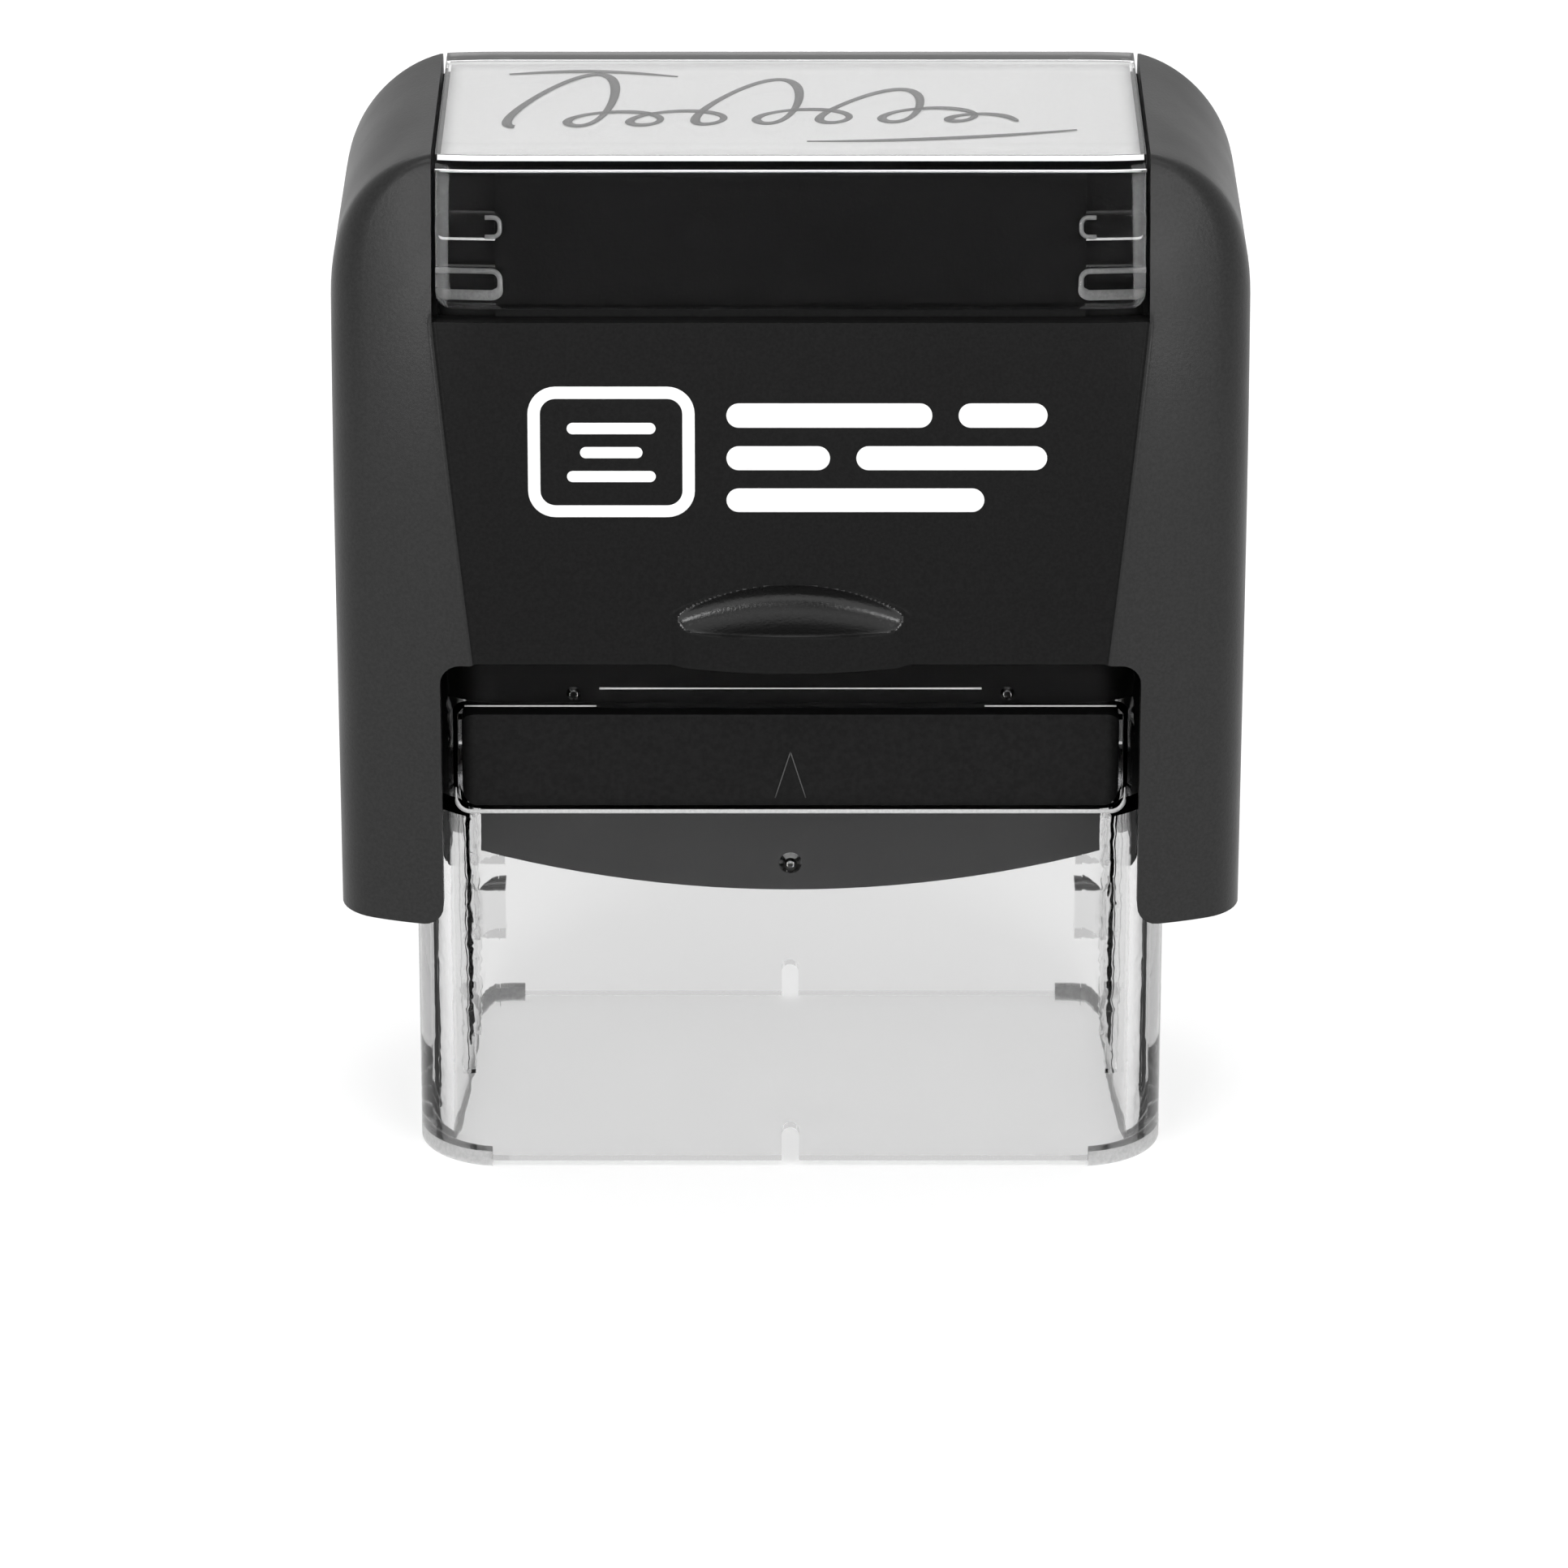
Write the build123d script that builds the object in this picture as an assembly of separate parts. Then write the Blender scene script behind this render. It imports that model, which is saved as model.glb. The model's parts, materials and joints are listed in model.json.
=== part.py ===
from build123d import *
import os
from math import acos, cos, pi, radians, sin

# Self-inking stamp: a black cap slides down on a clear stand, and its yoke turns the platen over,
# so that a die that rests against an ink pad lands face down on the paper.
# Millimetres. X runs along the die, Y from the front (-) to the back (+), Z is up. The origin is
# on the surface under the middle of the stand. The cap is drawn at the top of its travel.

# Motion
TRAVEL = 16.5              # how far the cap goes down
DIE_OFFSET = 4.5           # from the platen's axle to the printing face of the die
AXLE_Z = DIE_OFFSET + TRAVEL
PIN_RADIUS = 1.5
RUNNING_CLEARANCE = 0.06   # between an axle pin and its bore in the yoke

# Stand
STAND_HALF_X = 23.5
STAND_HALF_Y = 13.3        # at the bottom
STAND_TOP_HALF_Y = 12.3    # at the top of the box, because its front and back lean in
STAND_CORNER = 5.3
STAND_HEIGHT = 36.0
SIDE_WALL = 1.85
END_WALL = 1.2             # the front and back walls
STAND_LIFT = 0.4           # the walls stop this far above the surface, between the feet
WINDOW_HALF_X = 20.65      # the opening that the ink cartridge shows in
WINDOW_BOTTOM = 24.3
WINDOW_TOP = 31.05
WINDOW_CORNER = 1.0
DECK_THICKNESS = 1.25
DECK_TOP = WINDOW_TOP + DECK_THICKNESS
DECK_LIP_TOP = 34.6        # the deck's upright lip, inside the stand's walls
DECK_LIP = 0.8
DECK_FIT = 0.05            # between the deck and the stand's walls
CHEEK_TOP = 38.2           # the cheeks above the box that guide the yoke's arms
CHEEK_HALF_Y = 7.0
SLOT_HALF_WIDTH = 1.7      # the axle slot in each side wall
NOTCH_WIDTH = 1.1          # centring notch in the bottom edge of the front and back
NOTCH_TOP = 2.7

# Feet
FOOT_HEIGHT = 1.0
FOOT_FRONT_X = 18.8        # where a foot ends on the front wall
FOOT_BACK_X = 17.5

# Cartridge and ink pad
TRAY_HALF_X = 20.4
TRAY_HALF_Y = 12.2
TRAY_BOTTOM = 24.4
TRAY_TOP = 30.5
TRAY_ROOF = 1.2
TRAY_CORNER = 0.9
PAD_CAVITY_HALF_X = 19.8
PAD_CAVITY_HALF_Y = 8.6
PAD_BOTTOM = 26.3
PAD_GAP = 0.2              # between the pad and the sides of its cavity

# Platen and die
DIE_LENGTH = 39.0
DIE_WIDTH = 15.0
CUSHION_THICKNESS = 0.8
PLATE_TOP = 1.7            # the platen's seat for the cushion, above the axle
DIE_BASE_TOP = 3.7         # the die's body ends here, above the axle, and its relief starts
PLATEN_HALF_X = 19.55
PLATEN_HALF_Y = 7.6
PLATEN_BACK = 4.2          # from the axle to the lowest line of the platen's back
PLATEN_BACK_RADIUS = 72.0  # the back's curve along X

# Cap
CAP_HALF_X = 28.05
LOBE_HALF_Y = 15.1         # the outer face of the lobes at the bottom
PANEL_SINK = 0.35          # the flat front panel lies this far behind the lobes
CAP_TOP = 66.25
LEG_BOTTOM = 17.4
ARCH_TOP = 34.9            # the arch between the legs, front and back
ARCH_HALF_X = 21.55
ARCH_CORNER = 1.3
CAP_SIDE_WALL = 1.8
CAP_FRONT_WALL = 1.45
CREST_X = 21.9             # where the flat top ends and the shoulder begins
SHOULDER_RADIUS = 7.8
SHOULDER_START = radians(14)
SHOULDER_END = radians(75)
LEAN_START = 34.9          # the front is upright below this height
LEAN_POWER = 2.6           # how late the lean comes on
LEAN_SECTIONS = 8
TOP_INSET = 4.75           # how far the front has moved in at the top
FLAT_HALF_X = 18.5         # the flat part of the front, in plan
BOW_RADIUS = 20.0          # the lobes' curve in plan, next to the flat part
BOW_ANGLE = radians(22)
PANEL_BOTTOM_HALF_X = 19.6
PANEL_TOP_HALF_X = 21.5

# Cover and label on top of the cap
BAY_HALF_X = 21.75         # the recess that the cover sits in
BAY_BOTTOM = 56.5
COVER_HALF_X = 21.5
COVER_BOTTOM = 57.4
COVER_WALL = 1.2
COVER_SINK = 0.15          # the cover's face lies this far behind the lobes
CORE_SINK = 1.6            # the black core behind the cover
CORE_TOP_SINK = 1.45
CHANNEL_HALF_X = 17.9      # the core is thinner beyond this, to pass the cover's catches
CHANNEL_DEPTH = 0.9
CATCH_DEPTH = 0.7
CORE_HOLLOW = 3.4
LABEL_LENGTH = 42.4
LABEL_WIDTH = 17.6
LABEL_THICKNESS = 0.2

# Thumb rest at the bottom of the front and back panels
REST_HALF_X = 7.3
REST_HEIGHT = 4.6
REST_CORNER = 2.4
REST_PROUD = 1.5
REST_SWELL_RADIUS = 24.0
SCOOP_SIZE = (10.7, 2.2, 1.4)
SCOOP_Z = 39.3
SCOOP_OUT = 1.55           # from the panel's lower edge to the middle of the scoop

# Yoke
ARM_INSIDE = 23.85
ARM_OUTSIDE = 25.95
ARM_HALF_Y = 3.4
BAR_HALF_Y = 5.0
BAR_THICKNESS = 2.0
BAR_TOP = CAP_TOP - CORE_HOLLOW
BAR_BOTTOM = BAR_TOP - BAR_THICKNESS
BAR_HALF_X = 22.6
PIN_INNER_END = 17.4
PIN_OUTER_END = 26.1

# Return spring
SPRING_RADIUS = 4.2        # to the middle of the wire
WIRE_RADIUS = 0.45
SPRING_TURNS = 8.5
SPRING_WELL_INNER = 5.4
SPRING_WELL_OUTER = 6.3
SPRING_POST = 3.0

FRONT = -1
BACK = 1
LEFT = -1
RIGHT = 1


def block(x0, x1, y0, y1, z0, z1):
    """A box between two corners."""
    return Pos((x0 + x1) / 2, (y0 + y1) / 2, (z0 + z1) / 2) * Box(x1 - x0, y1 - y0, z1 - z0)


def side_block(side, x0, x1, y0, y1, z0, z1):
    """A box on the left or right, with its X distances measured from the middle."""
    near, far = sorted((side * x0, side * x1))
    return block(near, far, y0, y1, z0, z1)


def rod(x0, x1, y, z, radius):
    """A cylinder along X."""
    return Pos((x0 + x1) / 2, y, z) * Rot(0, 90, 0) * Cylinder(radius, abs(x1 - x0))


# ---------------------------------------------------------------- stand

def stand_half_y(z):
    return STAND_HALF_Y - (STAND_HALF_Y - STAND_TOP_HALF_Y) * z / STAND_HEIGHT


def stand_section(z, inset_x, inset_y):
    corner = STAND_CORNER - max(inset_x, inset_y)
    section = RectangleRounded(2 * (STAND_HALF_X - inset_x), 2 * (stand_half_y(z) - inset_y), corner)
    return Pos(0, 0, z) * section


def stand_block(z0, z1, inset_x=0.0, inset_y=0.0):
    """The stand's outer block between two heights, made smaller by the insets."""
    return loft([stand_section(z0, inset_x, inset_y), stand_section(z1, inset_x, inset_y)], ruled=True)


def cartridge_opening():
    height = WINDOW_TOP - WINDOW_BOTTOM
    outline = RectangleRounded(2 * WINDOW_HALF_X, height, WINDOW_CORNER)
    centre_z = (WINDOW_TOP + WINDOW_BOTTOM) / 2
    return extrude(Plane.XZ * Pos(0, centre_z) * outline, amount=2 * STAND_HALF_Y, both=True)


def axle_slots():
    bottom = AXLE_Z - TRAVEL - SLOT_HALF_WIDTH
    top = AXLE_Z + SLOT_HALF_WIDTH
    outline = Pos(0, (bottom + top) / 2) * SlotOverall(top - bottom, 2 * SLOT_HALF_WIDTH, rotation=90)
    return extrude(Plane.YZ * outline, amount=2 * STAND_HALF_X, both=True)


def centring_notches():
    radius = NOTCH_WIDTH / 2
    outline = Rectangle(NOTCH_WIDTH, 2 * (NOTCH_TOP - radius)) + Pos(0, NOTCH_TOP - radius) * Circle(radius)
    return extrude(Plane.XZ * outline, amount=2 * STAND_HALF_Y, both=True)


def foot_recess(side):
    """The space under one end of the stand's wall that its foot fills."""
    front = side_block(side, FOOT_FRONT_X, 30, -20, 0, -1, FOOT_HEIGHT)
    back = side_block(side, FOOT_BACK_X, 30, 0, 20, -1, FOOT_HEIGHT)
    return front + back


def make_foot(side):
    ring = stand_block(0, FOOT_HEIGHT) - stand_block(-1, 2, SIDE_WALL, END_WALL)
    return ring & foot_recess(side)


def stand_side_details(side):
    """The rail that carries the cartridge, the ledge under the deck, the slot's guide ribs and
    the corner stops."""
    rail_inside = 19.85
    ledge_inside = WINDOW_HALF_X + 0.05
    rib_inside = 20.9
    wall_middle = STAND_HALF_X - SIDE_WALL / 2
    rail_half_y = stand_half_y(TRAY_BOTTOM) - END_WALL / 2
    rail_bottom = TRAY_BOTTOM - 1.1
    details = side_block(side, rail_inside, wall_middle, -rail_half_y, rail_half_y, rail_bottom, TRAY_BOTTOM)
    details += side_block(side, ledge_inside, wall_middle, -9, 9, WINDOW_TOP - 0.5, WINDOW_TOP)
    for y in (-2.9, 2.9):
        details += side_block(side, rib_inside, wall_middle, y - 0.5, y + 0.5, 2.0, rail_bottom)
    for stop_bottom in (5.8, 11.1):
        details += side_block(side, 18.6, wall_middle, 9.3, 12.3, stop_bottom, stop_bottom + 3.4)
    return details


def make_stand():
    stand = stand_block(STAND_LIFT, STAND_HEIGHT)
    for side in (LEFT, RIGHT):
        wall_top_x = STAND_HALF_X - 0.1
        stand += side_block(side, STAND_HALF_X - SIDE_WALL, wall_top_x, -CHEEK_HALF_Y, CHEEK_HALF_Y,
                            DECK_TOP, CHEEK_TOP)
    stand -= stand_block(-1, STAND_HEIGHT + 10, SIDE_WALL, END_WALL)
    stand -= cartridge_opening() + axle_slots() + centring_notches()
    for side in (LEFT, RIGHT):
        stand += stand_side_details(side) & stand_block(STAND_LIFT, STAND_HEIGHT)
        stand -= foot_recess(side)
    return stand


def make_deck():
    """The black plate over the cartridge, with a lip round it and the seat of the return spring."""
    inset_x = SIDE_WALL + DECK_FIT
    inset_y = END_WALL + DECK_FIT
    deck = stand_block(WINDOW_TOP, DECK_LIP_TOP, inset_x, inset_y)
    deck -= stand_block(DECK_TOP, DECK_LIP_TOP + 1, inset_x + DECK_LIP, inset_y + DECK_LIP)
    well_height = 5.5
    well = Cylinder(SPRING_WELL_OUTER, well_height) - Cylinder(SPRING_WELL_INNER, well_height)
    deck += Pos(0, 0, DECK_TOP + well_height / 2 - 0.1) * well
    post_height = 8.5
    deck += Pos(0, 0, DECK_TOP + post_height / 2 - 0.1) * Cylinder(SPRING_POST, post_height)
    return deck


# ---------------------------------------------------------------- cartridge

def make_tray():
    plan = RectangleRounded(2 * TRAY_HALF_X, 2 * TRAY_HALF_Y, TRAY_CORNER)
    face = RectangleRounded(2 * TRAY_HALF_X, TRAY_TOP - TRAY_BOTTOM, TRAY_CORNER)
    centre_z = (TRAY_TOP + TRAY_BOTTOM) / 2
    tray = extrude(Plane.XZ * Pos(0, centre_z) * face, amount=2 * TRAY_HALF_Y, both=True)
    tray &= extrude(plan, amount=TRAY_TOP)
    roof = TRAY_TOP - TRAY_ROOF
    tray -= block(-PAD_CAVITY_HALF_X, PAD_CAVITY_HALF_X, -PAD_CAVITY_HALF_Y, PAD_CAVITY_HALF_Y,
                  TRAY_BOTTOM - 1, roof)
    for end in (FRONT, BACK):
        near, far = sorted((end * 9.7, end * 11.0))
        tray -= block(-19.0, 19.0, near, far, TRAY_BOTTOM - 1, roof)
    return tray


def make_ink_pad():
    half_x = PAD_CAVITY_HALF_X - PAD_GAP
    half_y = PAD_CAVITY_HALF_Y - PAD_GAP
    return block(-half_x, half_x, -half_y, half_y, PAD_BOTTOM, TRAY_TOP - TRAY_ROOF)


# ---------------------------------------------------------------- platen

def make_platen():
    """The carrier that turns over, with its seat for the die on top and a back curved along X."""
    low = AXLE_Z - PLATEN_BACK
    body = block(-PLATEN_HALF_X, PLATEN_HALF_X, -PLATEN_HALF_Y, PLATEN_HALF_Y, low, AXLE_Z + PLATE_TOP)
    body &= Pos(0, 0, low + PLATEN_BACK_RADIUS) * Rot(90, 0, 0) * Cylinder(PLATEN_BACK_RADIUS, 40)
    for side in (LEFT, RIGHT):
        body -= rod(side * PIN_INNER_END, side * 25, 0, AXLE_Z, PIN_RADIUS)
    return body


def die_block(z0, z1):
    return block(-DIE_LENGTH / 2, DIE_LENGTH / 2, -DIE_WIDTH / 2, DIE_WIDTH / 2, z0, z1)


def make_cushion():
    return die_block(AXLE_Z + PLATE_TOP, AXLE_Z + PLATE_TOP + CUSHION_THICKNESS)


def make_die():
    """A rubber die with a raised border and three plain bars in place of lettering."""
    base_top = AXLE_Z + DIE_BASE_TOP
    face = AXLE_Z + DIE_OFFSET
    border = 0.8
    margin = 0.3
    die = die_block(AXLE_Z + PLATE_TOP + CUSHION_THICKNESS, base_top)
    outer_x = DIE_LENGTH / 2 - margin
    outer_y = DIE_WIDTH / 2 - margin
    relief = block(-outer_x, outer_x, -outer_y, outer_y, base_top, face)
    relief -= block(-outer_x + border, outer_x - border, -outer_y + border, outer_y - border, base_top, face)
    for y, half_length in ((3.6, 12.0), (0.0, 15.5), (-3.6, 9.0)):
        relief += block(-half_length, half_length, y - 0.7, y + 0.7, base_top, face)
    return die + relief


def make_axle_pin(side):
    return rod(side * PIN_INNER_END, side * PIN_OUTER_END, 0, AXLE_Z, PIN_RADIUS)


# ---------------------------------------------------------------- cap

def turned(centre, radius, angle):
    """The point at an angle from straight up, round a centre."""
    return (centre[0] + radius * sin(angle), centre[1] + radius * cos(angle))


def arc(centre, radius, start, end):
    middle = (start + end) / 2
    points = [turned(centre, radius, angle) for angle in (start, middle, end)]
    return ThreePointArc(*points)


def cap_end_view(inset):
    """The cap's outline as seen from the front, moved in: a flat top and rounded shoulders."""
    top = CAP_TOP - inset
    half_x = CAP_HALF_X - inset
    shoulder_centre = (CREST_X - SHOULDER_RADIUS * sin(SHOULDER_START),
                       CAP_TOP - SHOULDER_RADIUS * cos(SHOULDER_START))
    reach = CAP_HALF_X - shoulder_centre[0] - SHOULDER_RADIUS * sin(SHOULDER_END)
    side_radius = reach / (1 - sin(SHOULDER_END))
    side_centre = turned(shoulder_centre, SHOULDER_RADIUS - side_radius, SHOULDER_END)
    start = acos((top - shoulder_centre[1]) / (SHOULDER_RADIUS - inset))
    shoulder = arc(shoulder_centre, SHOULDER_RADIUS - inset, start, SHOULDER_END)
    side_curve = arc(side_centre, side_radius - inset, SHOULDER_END, pi / 2)
    outline = Line((0, top), shoulder @ 0) + shoulder + side_curve
    outline += Polyline(side_curve @ 1, (half_x, 0), (0, 0), (0, top))
    half = make_face(outline)
    return extrude(Plane.XZ * (half + mirror(half, Plane.YZ)), amount=30, both=True)


def front_inset(z):
    """How far the front face has moved in at a height: it leans back more and more."""
    rise = max(0.0, z - LEAN_START) / (CAP_TOP - LEAN_START)
    return TOP_INSET * rise ** LEAN_POWER


def plan_section(z, inset_x, inset_y):
    """A level cut through the cap: a flat front, bowed lobes and round corners."""
    half_x = CAP_HALF_X - inset_x
    half_y = LOBE_HALF_Y - inset_y - front_inset(z)
    bow_radius = BOW_RADIUS - inset_y
    bow = arc((FLAT_HALF_X, half_y - bow_radius), bow_radius, 0, BOW_ANGLE)
    corner_radius = (half_x - (bow @ 1).X) / (1 - sin(BOW_ANGLE))
    corner_centre = turned(tuple(bow @ 1), -corner_radius, BOW_ANGLE)
    corner = arc(corner_centre, corner_radius, BOW_ANGLE, pi / 2)
    outline = Line((0, half_y), bow @ 0) + bow + corner
    outline += Polyline(corner @ 1, (half_x, 0), (0, 0), (0, half_y))
    quarter = make_face(outline)
    half = quarter + mirror(quarter, Plane.YZ)
    return Pos(0, 0, z) * (half + mirror(half, Plane.XZ))


def cap_body(inset_x, inset_y, inset_top):
    """The cap's solid form, made smaller by the insets."""
    step = (CAP_TOP - LEAN_START) / LEAN_SECTIONS
    levels = [LEAN_START + step * number for number in range(LEAN_SECTIONS + 1)]
    upper = loft([plan_section(z, inset_x, inset_y) for z in levels])
    lower = extrude(plan_section(LEAN_START, inset_x, inset_y), amount=-LEAN_START)
    return (upper + lower) & cap_end_view(inset_top)


def panel_zone():
    """The inverted trapezoid of the flat panel, front and back."""
    corners = [(-PANEL_BOTTOM_HALF_X, ARCH_TOP), (PANEL_BOTTOM_HALF_X, ARCH_TOP),
               (PANEL_TOP_HALF_X, BAY_BOTTOM + 0.5), (-PANEL_TOP_HALF_X, BAY_BOTTOM + 0.5)]
    return extrude(Plane.XZ * Polygon(*corners, align=None), amount=30, both=True)


def cap_arch():
    """The opening between the legs, from front to back."""
    outline = RectangleRounded(2 * ARCH_HALF_X, 2 * ARCH_TOP, ARCH_CORNER)
    return extrude(Plane.XZ * outline, amount=30, both=True)


def thumb_rest(end):
    """A low mound with a scooped top, at the bottom of the front or back panel."""
    outline = RectangleRounded(2 * REST_HALF_X, 2 * REST_HEIGHT, REST_CORNER)
    prism = extrude(Plane.XZ * Pos(0, ARCH_TOP) * outline, amount=30, both=True)
    face_y = LOBE_HALF_Y - PANEL_SINK + REST_PROUD
    swell = Pos(0, end * (face_y - REST_SWELL_RADIUS), ARCH_TOP) * Cylinder(REST_SWELL_RADIUS, 20)
    inner_y = LOBE_HALF_Y - CAP_FRONT_WALL
    near, far = sorted((end * inner_y, end * 20))
    return prism & swell & block(-10, 10, near, far, ARCH_TOP, 50)


def thumb_scoop(end):
    centre_y = LOBE_HALF_Y - PANEL_SINK + SCOOP_OUT
    return Pos(0, end * centre_y, SCOOP_Z) * scale(Sphere(1), by=SCOOP_SIZE)


def cover_bay():
    return block(-BAY_HALF_X, BAY_HALF_X, -20, 20, BAY_BOTTOM, CAP_TOP + 1)


def cap_core():
    """The black body behind the cover, thinner at its ends where the cover's catches pass."""
    ends = cap_body(0, CORE_SINK + CHANNEL_DEPTH, CORE_TOP_SINK)
    middle = cap_body(0, CORE_SINK, CORE_TOP_SINK)
    return ends + (middle & block(-CHANNEL_HALF_X, CHANNEL_HALF_X, -20, 20, 0, CAP_TOP))


def cap_hollow():
    roof = BAY_BOTTOM - 1.3
    lobe_wall_x = BAY_HALF_X + 1.35
    hollow = cap_body(CAP_SIDE_WALL, CAP_FRONT_WALL, CAP_SIDE_WALL)
    hollow -= block(-lobe_wall_x, lobe_wall_x, -20, 20, roof, CAP_TOP)
    core_x = BAY_HALF_X - 1.35
    core_hollow = cap_body(0, CORE_SINK + 1.6, CORE_HOLLOW)
    hollow += core_hollow & block(-core_x, core_x, -20, 20, roof - 1, CAP_TOP)
    slot_half_y = BAR_HALF_Y + 0.4
    hollow += block(-lobe_wall_x - 0.1, lobe_wall_x + 0.1, -slot_half_y, slot_half_y, roof - 1, BAR_TOP)
    return hollow


def make_cap():
    outer = cap_body(0, 0, 0)
    sunk = cap_body(0, PANEL_SINK, 0)
    cap = (outer - panel_zone()) + (sunk & panel_zone())
    cap = (cap - cover_bay()) + (cap_core() & cover_bay())
    cap -= cap_hollow() + cap_arch()
    cap &= block(-40, 40, -40, 40, LEG_BOTTOM, CAP_TOP)
    for end in (FRONT, BACK):
        cap += thumb_rest(end)
        cap -= thumb_scoop(end)
    return cap


def cover_catches():
    """Short bars inside the cover's lower corners that snap into the core's channels."""
    bars = []
    for side in (LEFT, RIGHT):
        for bottom, top in ((COVER_BOTTOM + 0.2, COVER_BOTTOM + 2.0), (61.3, 62.8)):
            bars.append(side_block(side, CHANNEL_HALF_X + 0.3, COVER_HALF_X - 0.2, -20, 20, bottom, top))
    inside = cap_body(0, COVER_SINK + COVER_WALL - 0.1, 0)
    return (bars[0] + bars[1:]) & inside


def make_cover():
    """The clear cover that snaps over the label and down the front and back of the core."""
    inner_sink = COVER_SINK + COVER_WALL
    outline = Pos(0, COVER_BOTTOM + 20) * RectangleRounded(2 * COVER_HALF_X, 40, 1.0)
    zone = extrude(Plane.XZ * outline, amount=30, both=True)
    shell = cap_body(0, COVER_SINK, 0) - cap_body(0, inner_sink, COVER_WALL)
    catches = cover_catches() - cap_body(0, inner_sink + CATCH_DEPTH, 0)
    return (shell & zone) + catches


def make_label():
    bottom = CAP_TOP - CORE_TOP_SINK
    return block(-LABEL_LENGTH / 2, LABEL_LENGTH / 2, -LABEL_WIDTH / 2, LABEL_WIDTH / 2,
                 bottom, bottom + LABEL_THICKNESS)


# ---------------------------------------------------------------- yoke and spring

def make_yoke():
    """The cross bar inside the cap and the two arms that carry the platen's axle."""
    arm_bottom = AXLE_Z - ARM_HALF_Y
    outer = [(0, BAR_TOP), (BAR_HALF_X, BAR_TOP), (ARM_OUTSIDE, 56.0), (ARM_OUTSIDE, arm_bottom)]
    inner = [(ARM_INSIDE, arm_bottom), (ARM_INSIDE, 55.2), (BAR_HALF_X - 1.2, BAR_BOTTOM), (0, BAR_BOTTOM)]
    half = make_face(Polyline(*outer, *inner, close=True))
    outline = half + mirror(half, Plane.YZ)
    yoke = extrude(Plane.XZ * outline, amount=ARM_HALF_Y, both=True)
    bar_x = BAR_HALF_X - 1.2
    yoke += block(-bar_x, bar_x, -BAR_HALF_Y, BAR_HALF_Y, BAR_BOTTOM, BAR_TOP)
    round_end = rod(-30, 30, 0, AXLE_Z, ARM_HALF_Y) + block(-30, 30, -10, 10, AXLE_Z, BAR_TOP)
    yoke &= round_end
    yoke -= rod(-30, 30, 0, AXLE_Z, PIN_RADIUS + RUNNING_CLEARANCE)
    cup_height = 2.0
    cup = Cylinder(SPRING_WELL_OUTER, cup_height) - Cylinder(SPRING_WELL_INNER, cup_height)
    yoke += (Pos(0, 0, BAR_BOTTOM - cup_height / 2 + 0.1) * cup) & block(-10, 10, -5, 5, 50, BAR_TOP)
    return yoke


def make_spring():
    gap = 0.05
    height = BAR_BOTTOM - DECK_TOP - 2 * WIRE_RADIUS - 2 * gap
    path = Pos(0, 0, DECK_TOP + WIRE_RADIUS + gap) * Helix(height / SPRING_TURNS, height, SPRING_RADIUS)
    wire = Plane(origin=path @ 0, z_dir=path % 0) * Circle(WIRE_RADIUS)
    return sweep(wire, path=path)


def main():
    os.makedirs("parts", exist_ok=True)
    parts = {
        "stand_frame": make_stand(),
        "foot_left": make_foot(LEFT),
        "foot_right": make_foot(RIGHT),
        "deck_plate": make_deck(),
        "cartridge_tray": make_tray(),
        "ink_pad": make_ink_pad(),
        "return_spring": make_spring(),
        "platen": make_platen(),
        "die_cushion": make_cushion(),
        "text_plate": make_die(),
        "axle_pin_left": make_axle_pin(LEFT),
        "axle_pin_right": make_axle_pin(RIGHT),
        "yoke": make_yoke(),
        "cap_shell": make_cap(),
        "index_label": make_label(),
        "index_window": make_cover(),
    }
    for name, shape in parts.items():
        export_step(shape, f"parts/{name}.step")
        print(name, shape.is_valid, len(shape.solids()), round(shape.volume, 1))


main()
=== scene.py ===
import json
import math
from math import cos, pi, radians, sin

import bmesh
import bpy
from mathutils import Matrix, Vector


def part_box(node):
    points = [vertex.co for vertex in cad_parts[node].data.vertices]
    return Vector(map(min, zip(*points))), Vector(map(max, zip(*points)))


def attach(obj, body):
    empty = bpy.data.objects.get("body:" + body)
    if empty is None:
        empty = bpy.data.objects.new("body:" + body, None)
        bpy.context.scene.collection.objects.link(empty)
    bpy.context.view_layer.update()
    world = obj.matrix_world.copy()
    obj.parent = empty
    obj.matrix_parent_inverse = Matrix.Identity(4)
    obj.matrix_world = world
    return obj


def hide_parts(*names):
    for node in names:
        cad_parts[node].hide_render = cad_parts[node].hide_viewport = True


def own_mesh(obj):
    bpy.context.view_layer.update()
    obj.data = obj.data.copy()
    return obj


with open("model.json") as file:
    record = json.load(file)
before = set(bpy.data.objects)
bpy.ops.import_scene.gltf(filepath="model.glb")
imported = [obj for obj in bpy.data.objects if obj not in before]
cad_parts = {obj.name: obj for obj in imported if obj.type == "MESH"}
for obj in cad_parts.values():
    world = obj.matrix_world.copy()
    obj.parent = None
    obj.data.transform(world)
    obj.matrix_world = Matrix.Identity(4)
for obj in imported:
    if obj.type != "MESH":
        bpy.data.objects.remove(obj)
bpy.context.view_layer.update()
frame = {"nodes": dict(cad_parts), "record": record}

# The looks of a self-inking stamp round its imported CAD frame. The helpers below take millimetres
# and make objects in metres, in the CAD frame: X along the die, Y front to back, Z up.
# Curved shells are worked out for the front right quarter, X >= 0 and Y <= 0, and mirrored.

MM = 0.001


def node_box(node):
    """A CAD node's lowest and highest corners in millimetres."""
    low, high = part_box(node)
    return low / MM, high / MM


# ---------------------------------------------------------------- materials

def new_material(name):
    """An empty material with a Principled shader, and short ways to its nodes."""
    material = bpy.data.materials.new(name)
    material.use_nodes = True
    return material, material.node_tree, material.node_tree.nodes["Principled BSDF"]


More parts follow.
